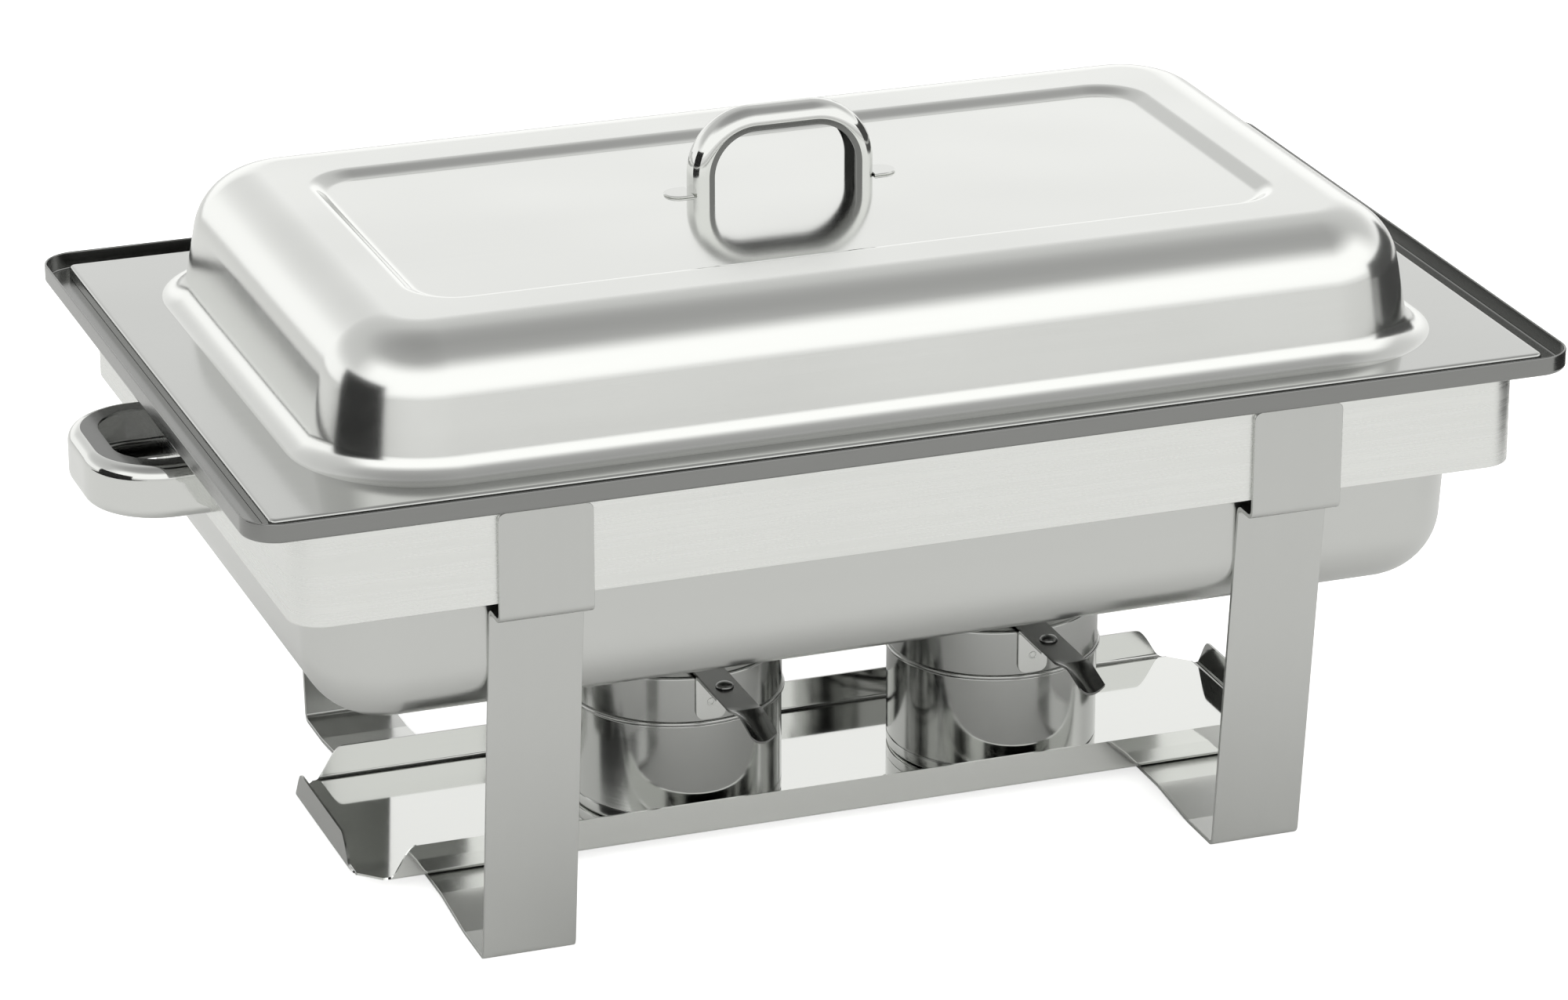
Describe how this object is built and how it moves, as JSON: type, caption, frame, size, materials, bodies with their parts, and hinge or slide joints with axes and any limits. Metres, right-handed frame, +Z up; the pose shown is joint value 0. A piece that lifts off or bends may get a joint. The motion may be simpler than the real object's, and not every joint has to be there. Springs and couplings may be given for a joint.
{
  "type": "chafing dish",
  "caption": "Rectangular stainless chafing dish food warmer: banded stand on bent strip legs, water pan, food pan, domed lid, and a tray of fuel burners with swinging covers",
  "frame": {"origin": "on the floor under the middle of the stand", "axes": "+X along the long side, -Y towards the front with the burner levers, +Z up"},
  "size_m": [0.645, 0.354, 0.3152],
  "materials": {
    "satin_steel": "satin stainless sheet, lightly brushed",
    "bright_steel": "bright polished stainless sheet"
  },
  "bodies": {
    "stand": {"stand_band": "satin_steel", "leg_strip_left": "satin_steel", "leg_strip_right": "satin_steel", "end_handle_left": "bright_steel", "end_handle_right": "bright_steel"},
    "water_pan": {"water_pan": "satin_steel"},
    "food_pan": {"food_pan": "satin_steel"},
    "lid": {"lid_shell": "satin_steel", "lid_handle": "bright_steel"},
    "tray": {"burner_tray": "bright_steel"},
    "can_left": {"fuel_can_left": "bright_steel"},
    "cap_left": {"burner_cap_left": "bright_steel", "cap_bracket_left": "bright_steel", "pivot_rivet_left": "bright_steel"},
    "cover_left": {"cover_lever_left": "bright_steel", "cover_disc_left": "bright_steel"},
    "can_right": {"fuel_can_right": "bright_steel"},
    "cap_right": {"burner_cap_right": "bright_steel", "cap_bracket_right": "bright_steel", "pivot_rivet_right": "bright_steel"},
    "cover_right": {"cover_lever_right": "bright_steel", "cover_disc_right": "bright_steel"}
  },
  "joints": [
    {"name": "water_pan_lift", "type": "slide", "parent": "stand", "child": "water_pan", "axis": [0, 0, 1], "range_m": [0, 0.12]},
    {"name": "food_pan_lift", "type": "slide", "parent": "water_pan", "child": "food_pan", "axis": [0, 0, 1], "range_m": [0, 0.08]},
    {"name": "lid_lift", "type": "slide", "parent": "food_pan", "child": "lid", "axis": [0, 0, 1], "range_m": [0, 0.15]},
    {"name": "tray_slide", "type": "slide", "parent": "stand", "child": "tray", "axis": [1, 0, 0], "range_m": [-0.51, 0.51]},
    {"name": "can_left_lift", "type": "slide", "parent": "tray", "child": "can_left", "axis": [0, 0, 1], "range_m": [0, 0.016]},
    {"name": "cap_left_lift", "type": "slide", "parent": "can_left", "child": "cap_left", "axis": [0, 0, 1], "range_m": [0, 0.012]},
    {"name": "cover_left_swing", "type": "hinge", "parent": "cap_left", "child": "cover_left", "pos_m": [-0.057, -0.0715, 0.0805], "axis": [0, 0, 1], "range_deg": [0, 90]},
    {"name": "can_right_lift", "type": "slide", "parent": "tray", "child": "can_right", "axis": [0, 0, 1], "range_m": [0, 0.016]},
    {"name": "cap_right_lift", "type": "slide", "parent": "can_right", "child": "cap_right", "axis": [0, 0, 1], "range_m": [0, 0.012]},
    {"name": "cover_right_swing", "type": "hinge", "parent": "cap_right", "child": "cover_right", "pos_m": [0.095, -0.0715, 0.0805], "axis": [0, 0, 1], "range_deg": [-90, 0]}
  ]
}
